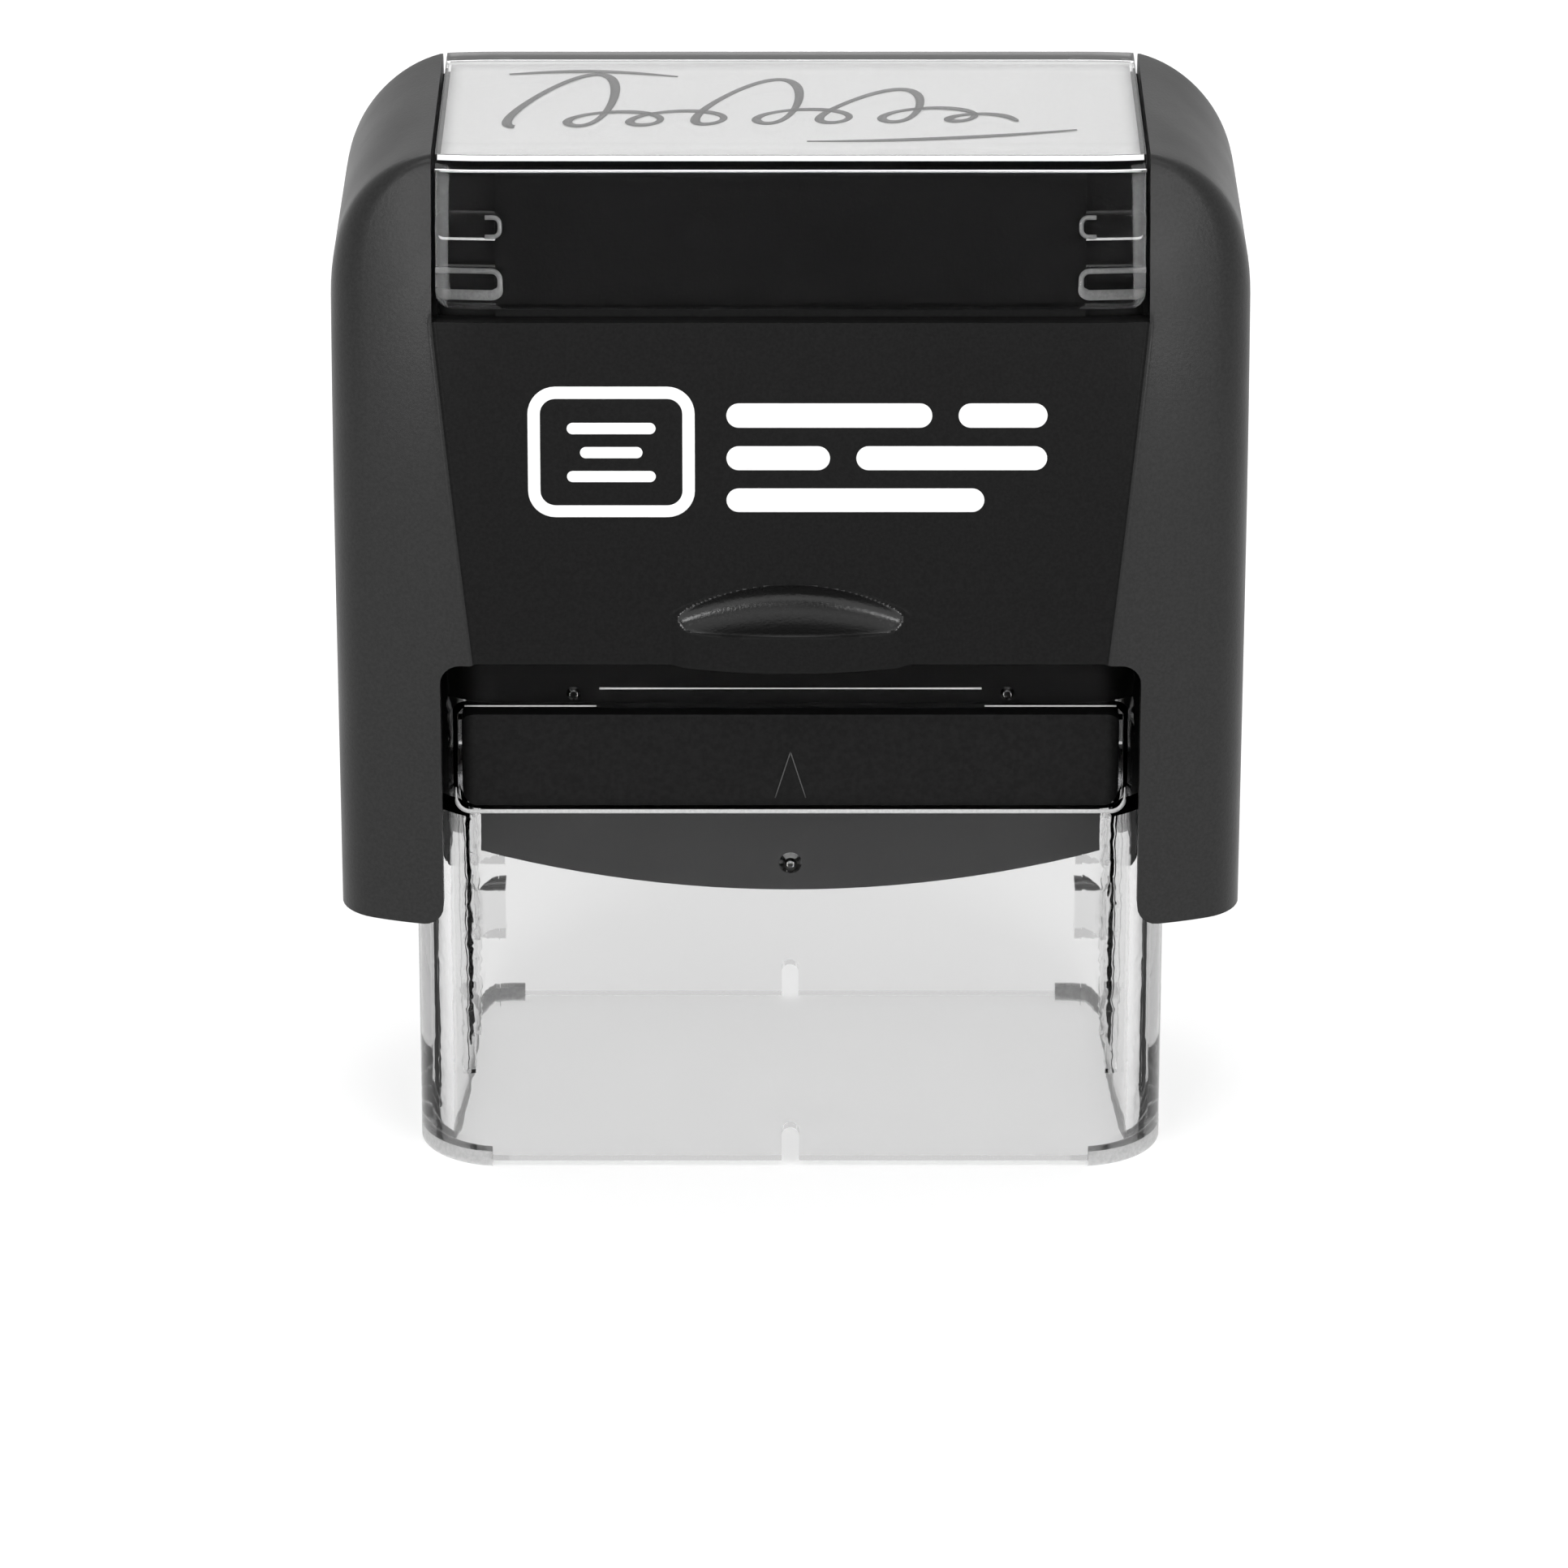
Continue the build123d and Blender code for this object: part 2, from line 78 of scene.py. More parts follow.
def noise(tree, scale, detail=2.0, roughness=0.5, stretch=(1, 1, 1)):
    """Noise in object space. The scale is in features per millimetre, stretched per axis."""
    place = tree.nodes.new("ShaderNodeTexCoord")
    mapping = tree.nodes.new("ShaderNodeMapping")
    mapping.inputs["Scale"].default_value = stretch
    texture = tree.nodes.new("ShaderNodeTexNoise")
    texture.inputs["Scale"].default_value = scale / MM
    texture.inputs["Detail"].default_value = detail
    texture.inputs["Roughness"].default_value = roughness
    tree.links.new(place.outputs["Object"], mapping.inputs["Vector"])
    tree.links.new(mapping.outputs["Vector"], texture.inputs["Vector"])
    return texture.outputs["Fac"]


def spread(tree, source, low, high):
    """Maps the middle of a noise's range to a range of values."""
    remap = tree.nodes.new("ShaderNodeMapRange")
    remap.inputs["From Min"].default_value = 0.3
    remap.inputs["From Max"].default_value = 0.7
    remap.inputs["To Min"].default_value = low
    remap.inputs["To Max"].default_value = high
    tree.links.new(source, remap.inputs["Value"])
    return remap.outputs["Result"]


def bump(tree, shader, height, depth):
    node = tree.nodes.new("ShaderNodeBump")
    node.inputs["Distance"].default_value = depth * MM
    tree.links.new(height, node.inputs["Height"])
    tree.links.new(node.outputs["Normal"], shader.inputs["Normal"])


def tint(tree, shader, source, dark, light):
    """Colour between two tones, driven by a texture."""
    ramp = tree.nodes.new("ShaderNodeValToRGB")
    ramp.color_ramp.elements[0].position = 0.35
    ramp.color_ramp.elements[1].position = 0.65
    ramp.color_ramp.elements[0].color = (*dark, 1)
    ramp.color_ramp.elements[1].color = (*light, 1)
    tree.links.new(source, ramp.inputs["Fac"])
    tree.links.new(ramp.outputs["Color"], shader.inputs["Base Color"])


def opaque(name, dark, light, rough, grain, grain_depth, specular=0.5):
    """Moulded plastic, rubber, paper or felt: grain in its relief, uneven tone and gloss."""
    material, tree, shader = new_material(name)
    patches = noise(tree, 0.15, 3)
    fine = noise(tree, grain, 3, 0.6)
    tint(tree, shader, fine, [dark] * 3, [light] * 3)
    tree.links.new(spread(tree, patches, *rough), shader.inputs["Roughness"])
    bump(tree, shader, fine, grain_depth)
    shader.inputs["Specular IOR Level"].default_value = specular
    return material


def clear_plastic(name, clearness, rough, wave_depth, absorption, sheen):
    """Polished clear plastic, with the faint waves that moulding leaves. It takes in a little of
    the light on its way through, so that it is darker along its edges."""
    material, tree, shader = new_material(name)
    waves = noise(tree, 0.05, 1)
    tint(tree, shader, waves, [clearness - 0.01] * 3, [clearness] * 3)
    tree.links.new(spread(tree, waves, *rough), shader.inputs["Roughness"])
    bump(tree, shader, waves, wave_depth)
    shader.inputs["IOR"].default_value = 1.5
    shader.inputs["Specular Tint"].default_value = (sheen, sheen, sheen, 1)
    shader.inputs["Transmission Weight"].default_value = 1.0
    volume = tree.nodes.new("ShaderNodeVolumeAbsorption")
    volume.inputs["Color"].default_value = (0.3, 0.3, 0.3, 1)
    volume.inputs["Density"].default_value = absorption
    tree.links.new(volume.outputs["Volume"], tree.nodes["Material Output"].inputs["Volume"])
    return material


def steel(name, stretch=(1, 1, 1)):
    """Drawn or ground steel, with fine marks along it."""
    material, tree, shader = new_material(name)
    marks = noise(tree, 3.0, 4, stretch=stretch)
    tint(tree, shader, marks, [0.42, 0.42, 0.43], [0.58, 0.58, 0.59])
    tree.links.new(spread(tree, marks, 0.22, 0.38), shader.inputs["Roughness"])
    bump(tree, shader, marks, 0.002)
    shader.inputs["Metallic"].default_value = 1.0
    return material


MATERIALS = {
    "cap_plastic": opaque("cap_plastic", 0.007, 0.012, (0.36, 0.44), 5.0, 0.012, 0.27),
    "yoke_plastic": opaque("yoke_plastic", 0.018, 0.025, (0.35, 0.45), 4.0, 0.006),
    "tray_plastic": opaque("tray_plastic", 0.006, 0.009, (0.55, 0.65), 3.0, 0.004, 0.06),
    "platen_plastic": opaque("platen_plastic", 0.036, 0.045, (0.35, 0.45), 5.0, 0.006),
    "foot_rubber": opaque("foot_rubber", 0.34, 0.42, (0.5, 0.65), 4.0, 0.01),
    "label_paper": opaque("label_paper", 0.94, 0.97, (0.7, 0.8), 3.0, 0.006, 0.3),
    "die_rubber": opaque("die_rubber", 0.15, 0.2, (0.5, 0.6), 4.0, 0.008),
    "cushion_foam": opaque("cushion_foam", 0.06, 0.11, (0.8, 0.9), 2.5, 0.05, 0.2),
    "pad_felt": opaque("pad_felt", 0.006, 0.02, (0.8, 0.95), 1.8, 0.08, 0.2),
    "clear_stand": clear_plastic("clear_stand", 0.94, (0.02, 0.04), 0.001, 80, 0.02),
    "clear_cover": clear_plastic("clear_cover", 0.99, (0.03, 0.045), 0.001, 20, 0.2),
    "spring_steel": steel("spring_steel"),
    "pin_steel": steel("pin_steel", (0.1, 1, 1)),
}
rubber = MATERIALS["foot_rubber"].node_tree.nodes["Principled BSDF"]
rubber.inputs["Subsurface Weight"].default_value = 1.0
rubber.inputs["Subsurface Radius"].default_value = (1.0, 1.0, 1.0)
rubber.inputs["Subsurface Scale"].default_value = 1.2 * MM
# Painted shade: the front panel and the core take a darker, duller copy of the cap's plastic, for the shade that
# their flat faces show.
SHADED_PANEL = opaque("cap_panel_plastic_shaded", 0.004, 0.0065, (0.42, 0.5), 5.0, 0.01, 0.08)
# Painted shade: the thumb hollow takes a still darker copy of the panel's plastic. Its higher gloss is set by
# roughness and specular only.
SHADED_SCOOP = opaque("worn_hollow_plastic_shaded", 0.003, 0.005, (0.22, 0.3), 5.0, 0.02, 0.5)
PRINT_WHITE = opaque("print_white", 0.82, 0.88, (0.45, 0.55), 6.0, 0.004)
PEN_BLACK = opaque("pen_black", 0.004, 0.008, (0.5, 0.6), 6.0, 0.004)
# Painted highlight: white, for the bright line along the cover's top edges.
EDGE_HIGHLIGHT_WHITE = opaque("painted_highlight_white", 0.8, 0.9, (0.25, 0.35), 6.0, 0.004)
# Painted highlight: grey, for the bright lines along the clear plastic's edges round the catches and the window.
EDGE_HIGHLIGHT_GREY = opaque("painted_highlight_grey", 0.36, 0.46, (0.25, 0.35), 6.0, 0.004)


# ---------------------------------------------------------------- mesh helpers

def make_object(name, mesh, body, slot_name, material=None):
    """Puts a mesh in the scene as a smooth piece of one body."""
    thing = bpy.data.objects.new(name, mesh)
    bpy.context.scene.collection.objects.link(thing)
    mesh.materials.append(material or MATERIALS[slot_name])
    for face in mesh.polygons:
        face.use_smooth = True
    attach(thing, body)
    return thing


def mesh_of(bm, name):
    """Closes a bmesh, whose points are in millimetres, into a mesh in metres."""
    bmesh.ops.remove_doubles(bm, verts=bm.verts, dist=0.001)
    bmesh.ops.scale(bm, vec=(MM, MM, MM), verts=bm.verts)
    mesh = bpy.data.meshes.new(name)
    bm.to_mesh(mesh)
    bm.free()
    return mesh


def add_grid(bm, rows, flip=False, material_index=0):
    """Quads over rows of points. Returns the rows as vertices."""
    lattice = [[bm.verts.new(point) for point in row] for row in rows]
    for row, following in zip(lattice, lattice[1:]):
        for index in range(len(row) - 1):
            corners = [row[index], row[index + 1], following[index + 1], following[index]]
            if flip:
                corners.reverse()
            bm.faces.new(corners).material_index = material_index
    return lattice


def stitch(bm, outer, inner, flip=False):
    """Quads between two lines of vertices."""
    for index in range(len(outer) - 1):
        corners = [outer[index], outer[index + 1], inner[index + 1], inner[index]]
        if flip:
            corners.reverse()
        bm.faces.new(corners)


def mirror(thing, x=True, y=True):
    modifier = thing.modifiers.new("mirror", "MIRROR")
    modifier.use_axis = (x, y, False)
    modifier.use_clip = True
    modifier.merge_threshold = 0.002 * MM


def soften(thing, width, angle=35, segments=2):
    """Rounds the sharp edges."""
    modifier = thing.modifiers.new("soft_edges", "BEVEL")
    modifier.width = width * MM
    modifier.segments = segments
    modifier.limit_method = "ANGLE"
    modifier.angle_limit = radians(angle)
    modifier.harden_normals = True


def smoothstep(value):
    value = min(1.0, max(0.0, value))
    return value * value * (3 - 2 * value)


def steps(start, end, count):
    """Evenly spaced values, both ends included."""
    return [start + (end - start) * index / count for index in range(count + 1)]


# ---------------------------------------------------------------- cap form

cap_low, cap_high = node_box("cap_shell")
CAP_TOP = cap_high.z
CAP_HALF_X = cap_high.x
LOBE_HALF_Y = 15.1
ARCH_TOP = 34.9
ARCH_HALF_X = 21.55
ARCH_CORNER = 1.3
LEG_CORNER = 1.3
BAY_HALF_X = 21.75
BAY_BOTTOM = 56.5
CREST_X = 21.9
SHOULDER_RADIUS = 7.8
SHOULDER_START = radians(14)
SHOULDER_END = radians(75)
TOP_INSET = 4.75
LEAN_POWER = 2.6
FLAT_HALF_X = 18.5
BOW_RADIUS = 20.0
BOW_ANGLE = radians(22)
BOW_END = FLAT_HALF_X + BOW_RADIUS * sin(BOW_ANGLE)
CORNER_RADIUS = (CAP_HALF_X - BOW_END) / (1 - sin(BOW_ANGLE))
RIDGE_RADIUS = 0.9
PANEL_SINK = 0.35
CREASE_BOTTOM_X = 19.5
CREASE_WIDTH = 0.5
WALL = 1.2


def front_face(x, z):
    """How far the lobes' front face lies from the middle plane."""
    rise = max(0.0, z - ARCH_TOP) / (CAP_TOP - ARCH_TOP)
    across = max(0.0, abs(x) - FLAT_HALF_X)
    bow = BOW_RADIUS - math.sqrt(BOW_RADIUS ** 2 - across ** 2)
    return LOBE_HALF_Y - TOP_INSET * rise ** LEAN_POWER - bow


def crease_x(z):
    """Where the panel meets the lobe, at a height."""
    return CREASE_BOTTOM_X + (BAY_HALF_X - CREASE_BOTTOM_X) * (z - ARCH_TOP) / (BAY_BOTTOM - ARCH_TOP)


def panel_sink(x, z):
    """The step down from the lobes to the panel, rounded at the crease."""
    if z < ARCH_TOP - 0.01:
        return 0.0
    inside = 0.5 + (crease_x(z) - x) / CREASE_WIDTH
    return PANEL_SINK * smoothstep(inside) * (1 - smoothstep((z - BAY_BOTTOM) / 0.4))


REST_HALF_X = 7.4
REST_PROUD = 1.5
REST_ROUNDING = 1.2
REST_SWELL_RADIUS = 24.0
REST_TOP = 40.15
REST_TOP_FALL = 1.85
SCOOP_OUT = 17.9
SCOOP_Z = 39.05
SCOOP_HALF_X = 10.2
SCOOP_HALF_Y = 3.82
SCOOP_HALF_Z = 1.94
SCOOP_DROP_RADIUS = 24.6
SCOOP_SOFTNESS = 0.2


def swelled(distance, width):
    """0 to 1 over a soft edge, by the distance in from it."""
    part = min(1.0, max(0.0, distance / width))
    return 1 - (1 - part) ** 2


def scoop_floor(x, z):
    """How far the hollow's floor lies from the middle plane, or None outside the hollow."""
    from_axis = z - SCOOP_Z + x * x / (2 * SCOOP_DROP_RADIUS)
    depth = 1 - (x / SCOOP_HALF_X) ** 2 - (from_axis / SCOOP_HALF_Z) ** 2
    if depth <= 0:
        return None
    return SCOOP_OUT - SCOOP_HALF_Y * math.sqrt(depth)


def with_mound(x, z, face):
    """The panel with the low mound for the thumb on it."""
    if x >= REST_HALF_X:
        return face
    top = REST_TOP - REST_TOP_FALL * (x / REST_HALF_X) ** 2
    proud = REST_PROUD - x * x / (2 * REST_SWELL_RADIUS)
    return face + proud * swelled(REST_HALF_X - x, REST_ROUNDING) * swelled(top - z, REST_ROUNDING / 2)


def thumb_rest(x, z, face):
    """The panel with the mound, and with the hollow scooped out of the mound's top."""
    face = with_mound(x, z, face)
    floor = scoop_floor(x, z)
    if floor is None:
        return face
    overlap = max(0.0, SCOOP_SOFTNESS - abs(face - floor)) / SCOOP_SOFTNESS
    return min(face, floor) - overlap * overlap * SCOOP_SOFTNESS / 4


def is_scooped(x, z):
    """Whether the hollow's floor is what shows at a place on the panel."""
    floor = scoop_floor(x, z)
    return floor is not None and floor < with_mound(x, z, front_face(x, z) - PANEL_SINK)


def shoulder_centre():
    return (CREST_X - SHOULDER_RADIUS * sin(SHOULDER_START), CAP_TOP - SHOULDER_RADIUS * cos(SHOULDER_START))


def silhouette(angle):
    """A point of the cap's end outline and its outward direction, by the angle from straight up."""
    centre_x, centre_z = shoulder_centre()
    radius = SHOULDER_RADIUS
    if angle > SHOULDER_END:
        reach = CAP_HALF_X - centre_x - radius * sin(SHOULDER_END)
        radius = reach / (1 - sin(SHOULDER_END))
        centre_x += (SHOULDER_RADIUS - radius) * sin(SHOULDER_END)
        centre_z += (SHOULDER_RADIUS - radius) * cos(SHOULDER_END)
    outward = Vector((sin(angle), cos(angle)))
    return Vector((centre_x, centre_z)) + radius * outward, outward


def cap_ribs():
    """Lines over the front of the lobe, from the end outline to the arch, crease or bay.
    Each is (outline point, outward direction, inner end, corner radius)."""
    side = Vector((1, 0))
    ribs = []
    for angle in steps(0, pi / 2, 6):
        end = Vector((ARCH_HALF_X + LEG_CORNER * (1 - sin(angle)), cap_low.z + LEG_CORNER * (1 - cos(angle))))
        start = Vector((CAP_HALF_X, cap_low.z + 1.2 * angle / (pi / 2)))
        ribs.append((start, side, end, CORNER_RADIUS))
    for z in (20, 23, 26, 29, 31.5, ARCH_TOP - ARCH_CORNER):
        ribs.append((Vector((CAP_HALF_X, z)), side, Vector((ARCH_HALF_X, z)), CORNER_RADIUS))
    for angle in steps(0, pi / 2, 6)[1:]:
        end = Vector((ARCH_HALF_X - ARCH_CORNER * (1 - cos(angle)), ARCH_TOP - ARCH_CORNER * (1 - sin(angle))))
        start = Vector((CAP_HALF_X, ARCH_TOP - ARCH_CORNER + angle / (pi / 2)))
        ribs.append((start, side, end, CORNER_RADIUS))
    panel_start = len(ribs)
    for z in steps(ARCH_TOP, 41.5, 66) + steps(41.5, BAY_BOTTOM, 15)[1:]:
        ribs.append((Vector((CAP_HALF_X, z)), side, Vector((crease_x(z), z)), CORNER_RADIUS))
    panel_end = len(ribs) - 1
    turn_start = pi / 2
    fan = [turn_start - (turn_start - SHOULDER_END) * part for part in steps(0, 1, 5)]
    fan += steps(SHOULDER_END, SHOULDER_START, 16)[1:]
    for index, angle in enumerate(fan):
        point, outward = silhouette(angle)
        turned = smoothstep((pi / 2 - angle) / (pi / 2 - SHOULDER_START))
        radius = CORNER_RADIUS + (RIDGE_RADIUS - CORNER_RADIUS) * turned
        end_z = BAY_BOTTOM + 0.3 + (61.5 - BAY_BOTTOM - 0.3) * (index / len(fan)) ** 0.8
        ribs.append((point, outward, Vector((BAY_HALF_X, end_z)), radius))
    ribs.append((Vector((BAY_HALF_X, CAP_TOP)), Vector((0, 1)), Vector((BAY_HALF_X, 61.5)), RIDGE_RADIUS))
    return ribs, panel_start, panel_end


def rib_points(rib, depth):
    """One rib's points, at a depth below the outer face: along the end, round the corner and
    over the front."""
    start, outward, end, radius = rib
    start = start - outward * depth
    inward = (end - start).normalized()
    length = (end - start).length
    radius = max(radius - depth, 0.25)
    last = BOW_ANGLE
    corner_end = start + inward * radius * (1 - sin(last))
    face = front_face(*corner_end) - depth
    edge = face - radius * cos(last)
    points = [(start.x, -edge * part, start.y) for part in (0, 0.35, 0.7, 0.9)]
    for angle in steps(pi / 2, last, 8)[:-1]:
        place = start + inward * radius * (1 - sin(angle))
        points.append((place.x, -(face - radius * (cos(last) - cos(angle))), place.y))
    first = radius * (1 - sin(last))
    tail = (0.45, 0.3, 0.2, 0.1, 0.0)
    distances = steps(first, length - 0.7, 10) + [length - gap for gap in tail]
    for distance in distances:
        place = start + inward * distance
        y = front_face(*place) - panel_sink(*place) - depth
        points.append((place.x, -y, place.y))
    return points


def panel_points(z, depth):
    """One level line of the front panel, from the crease to the middle."""
    crease = crease_x(z)
    fine_end = 11.5
    across = [crease - gap for gap in (0, 0.1, 0.2, 0.3, 0.5)]
    across += steps(crease - 1.2, fine_end, 6) + steps(fine_end, 0, 90)[1:]
    points = []
    for x in across:
        y = front_face(x, z) - panel_sink(x, z)
        if depth == 0:
            y = thumb_rest(x, z, y)
        points.append((x, depth - y, z))
    return points


def make_cap():
    bm = bmesh.new()
    ribs, panel_start, panel_end = cap_ribs()
    outer = add_grid(bm, [rib_points(rib, 0) for rib in ribs])
    inner = add_grid(bm, [rib_points(rib, WALL) for rib in ribs], flip=True)
    levels = [ribs[index][2].y for index in range(panel_start, panel_end + 1)]
    panel_outer = add_grid(bm, [panel_points(z, 0) for z in levels], material_index=1)
    panel_inner = add_grid(bm, [panel_points(z, WALL) for z in levels], flip=True)
    stitch(bm, outer[0], inner[0], flip=True)
    stitch(bm, outer[-1], inner[-1])
    stitch(bm, [row[-1] for row in outer[:panel_start + 1]], [row[-1] for row in inner[:panel_start + 1]], flip=True)
    stitch(bm, [row[-1] for row in outer[panel_end:]], [row[-1] for row in inner[panel_end:]], flip=True)
    stitch(bm, panel_outer[0], panel_inner[0], flip=True)
    stitch(bm, panel_outer[-1], panel_inner[-1])
    for face in bm.faces:
        centre = face.calc_center_median()
        if face.material_index == 1 and is_scooped(centre.x, centre.z):
            face.material_index = 2
    cap = make_object("cap_skin", mesh_of(bm, "cap_skin"), "cap", "cap_plastic")
    # Painted shade: the panel's faces take the darker copy of the cap's plastic.
    cap.data.materials.append(SHADED_PANEL)
    # Painted shade: the hollow's faces take the darkest copy of the cap's plastic.
    cap.data.materials.append(SHADED_SCOOP)
    mirror(cap)
    soften(cap, 0.18, angle=50)
    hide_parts("cap_shell")
    return cap


# ---------------------------------------------------------------- core, cover and label

SADDLE_LEAN = 0.37


def saddle_row(x, bottom, sink, top_drop, corner, low_end=None):
    """A profile over the cap's top at one X, from the front's lower edge to the middle of the top:
    up the front at a sink behind the lobes' face, round the corner and back along the top."""
    top = CAP_TOP - top_drop
    lean = SADDLE_LEAN
    turn = corner * math.tan((pi / 2 - lean) / 2)
    start_z = bottom if low_end is None else low_end
    points = [(x, -(front_face(x, z) - sink), z) for z in steps(start_z, top - turn, 22)]
    base_y, base_z = -points[-1][1], points[-1][2]
    for angle in steps(0, pi / 2 - lean, 6)[1:]:
        tilt = lean + angle
        y = base_y - corner * (cos(lean) - cos(tilt))
        z = base_z + corner * (sin(tilt) - sin(lean))
        points.append((x, -y, z))
    last_y, last_z = points[-1][1], points[-1][2]
    points += [(x, last_y * part, last_z) for part in (0.75, 0.5, 0.25, 0)]
    return points


cover_low, cover_high = node_box("index_window")
COVER_WALL = 1.2
COVER_SINK = 0.15
COVER_CORNER = 1.0
COVER_EDGE = 0.35
CORE_SINK = 1.6
CORE_TOP_DROP = 1.45
CHANNEL_X = 17.9
CATCHES = ((57.6, 59.5), (61.0, 62.6))
CATCH_INNER_X = 17.45
CATCH_OUTER_X = 21.45
CATCH_HEIGHT = 0.62
RIM_REACHES = (3.9, 0.9)


def cover_rows(depth, corner):
    rows = []
    half_x = cover_high.x
    across = steps(0, half_x - COVER_CORNER, 16) + [
        half_x - COVER_CORNER * (1 - sin(angle)) for angle in steps(0, pi / 2, 6)[1:]]
    for x in across:
        reach = max(0.0, x - (half_x - COVER_CORNER)) / COVER_CORNER
        lift = COVER_CORNER * (1 - math.sqrt(max(0.0, 1 - reach * reach)))
        rows.append(saddle_row(x, cover_low.z, COVER_SINK + depth, depth, corner, cover_low.z + lift))
    return rows


def make_cover():
    bm = bmesh.new()
    outer = add_grid(bm, cover_rows(0, COVER_EDGE), flip=True)
    inner = add_grid(bm, cover_rows(COVER_WALL, 0.3))
    stitch(bm, outer[-1], inner[-1], flip=True)
    stitch(bm, [row[0] for row in outer], [row[0] for row in inner])
    cover = make_object("index_cover", mesh_of(bm, "index_cover"), "cover", "clear_cover")
    mirror(cover)
    soften(cover, 0.15, angle=50, segments=3)
    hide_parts("index_window")
    return cover


def make_core():
    """The black body that the cover clips over, with shallow channels for its catches."""
    bm = bmesh.new()
    bottom = BAY_BOTTOM - 1.5
    channel = CORE_SINK + 0.9
    sections = [(x, CORE_SINK) for x in steps(0, CHANNEL_X, 8)]
    sections += [(CHANNEL_X + 0.02, channel), (20.0, channel), (21.4, channel), (21.42, CORE_SINK)]
    sections += [(BAY_HALF_X - 0.01, CORE_SINK)]
    outer = add_grid(bm, [saddle_row(x, bottom, sink, CORE_TOP_DROP, 0.6) for x, sink in sections], flip=True)
    inner = add_grid(bm, [saddle_row(x, bottom, sink + 1.2, CORE_TOP_DROP + 1.2, 0.4) for x, sink in sections])
    stitch(bm, outer[-1], inner[-1], flip=True)
    stitch(bm, [row[0] for row in outer], [row[0] for row in inner])
    # Painted shade: the core takes the panel's darker copy of the cap's plastic.
    core = make_object("cap_core", mesh_of(bm, "cap_core"), "cap", "cap_plastic", SHADED_PANEL)
    mirror(core)
    soften(core, 0.1)
    return core


def rounded_outline(half_x, half_z, radius, corner_steps=6, side_steps=1):
    """A closed rounded rectangle as (x, z) points."""
    points = []
    for turn in range(4):
        centre_x = (half_x - radius) * (1 if turn in (0, 3) else -1)
        centre_z = (half_z - radius) * (1 if turn in (0, 1) else -1)
        for angle in steps(turn * pi / 2, (turn + 1) * pi / 2, corner_steps):
            points.append((centre_x + radius * cos(angle), centre_z + radius * sin(angle)))
        last = Vector(points[-1])
        length = 2 * ((half_x if turn in (0, 2) else half_z) - radius)
        direction = Vector(((-1, 0), (0, -1), (1, 0), (0, 1))[turn])
        points += [tuple(last + direction * length * part) for part in steps(0, 1, side_steps)[1:-1]]
    return points


def prism(bm, outline, place, thickness):
    """A solid of an outline. place(x, z, out) gives the point at a height out of the surface."""
    far = [bm.verts.new(place(x, z, thickness)) for x, z in outline]
    near = [bm.verts.new(place(x, z, 0)) for x, z in outline]
    bm.faces.new(far)
    bm.faces.new(list(reversed(near)))
    stitch(bm, near + near[:1], far + far[:1])


def make_catches():
    """The cover's catches: bars with round inner ends, standing on its inside."""
    bm = bmesh.new()
    for side in (-1, 1):
        for end in (-1, 1):
            for low, high in CATCHES:
                half_z = (high - low) / 2
                outline = rounded_outline((CATCH_OUTER_X - CATCH_INNER_X) / 2, half_z, half_z * 0.6)

                def place(x, z, out):
                    at_x = (CATCH_OUTER_X + CATCH_INNER_X) / 2 + x
                    at_z = (low + high) / 2 + z
                    inside = COVER_SINK + COVER_WALL + CATCH_HEIGHT - 0.03
                    return (side * at_x, -end * (front_face(at_x, at_z) - inside + out), at_z)

                prism(bm, outline, place, CATCH_HEIGHT)
    bmesh.ops.recalc_face_normals(bm, faces=bm.faces)
    catches = make_object("cover_catches", mesh_of(bm, "cover_catches"), "cover", "clear_cover")
    soften(catches, 0.15, segments=3)
    return catches


def ribbon(bm, path, width, place, closed=False):
    """A flat band along (u, v) points. width(part) is its width at 0 to 1 of the way along, and
    place(u, v) puts its points on a surface."""
    count = len(path)
    pairs = []
    for index, (u, v) in enumerate(path):
        before = path[index - 1] if closed or index else path[index]
        after = path[(index + 1) % count] if closed or index < count - 1 else path[index]
        along = Vector((after[0] - before[0], after[1] - before[1])).normalized()
        half = width(index / (count - 1)) / 2
        left = place(u - along.y * half, v + along.x * half)
        right = place(u + along.y * half, v - along.x * half)
        pairs.append((bm.verts.new(left), bm.verts.new(right)))
    if closed:
        pairs.append(pairs[0])
    for (left, right), (next_left, next_right) in zip(pairs, pairs[1:]):
        bm.faces.new((left, next_left, next_right, right))


def thicken(thing, thickness):
    modifier = thing.modifiers.new("thickness", "SOLIDIFY")
    modifier.thickness = thickness * MM
    modifier.offset = 0


def catch_rim(low, high, reach, corner_steps=8):
    """A path round a catch's inner end, with straight parts of a given reach above and below it."""
    half_z = (high - low) / 2
    radius = half_z * 0.75
    path = [(reach, half_z)]
    for angle in steps(0, pi / 2, corner_steps):
        path.append((radius * (1 - sin(angle)), half_z - radius * (1 - cos(angle))))
    return path + [(x, -z) for x, z in reversed(path)]


def make_catch_rims():
    """Painted highlights: grey lines round the catches, for the light that their clear edges catch."""
    bm = bmesh.new()
    for side in (-1, 1):
        for end in (-1, 1):
            for (low, high), reach, thin, thick in zip(CATCHES, RIM_REACHES, (0.3, 0.25), (0.6, 0.25)):

                def place(u, v):
                    at_x = CATCH_INNER_X + 0.15 + u
                    at_z = (low + high) / 2 + v
                    inside = COVER_SINK + COVER_WALL + 0.04
                    return (side * at_x, -end * (front_face(at_x, at_z) - inside), at_z)

                def width(part):
                    return thin + (thick - thin) * smoothstep((part - 0.5) / 0.25)

                path = catch_rim(low + 0.35, high - 0.15, reach)
                ribbon(bm, path, width, place)
    # Painted highlight: the lines take the grey highlight material.
    rims = make_object("catch_rim_highlights", mesh_of(bm, "catch_rim_highlights"), "cover", "clear_cover", EDGE_HIGHLIGHT_GREY)
    thicken(rims, 0.05)
    return rims


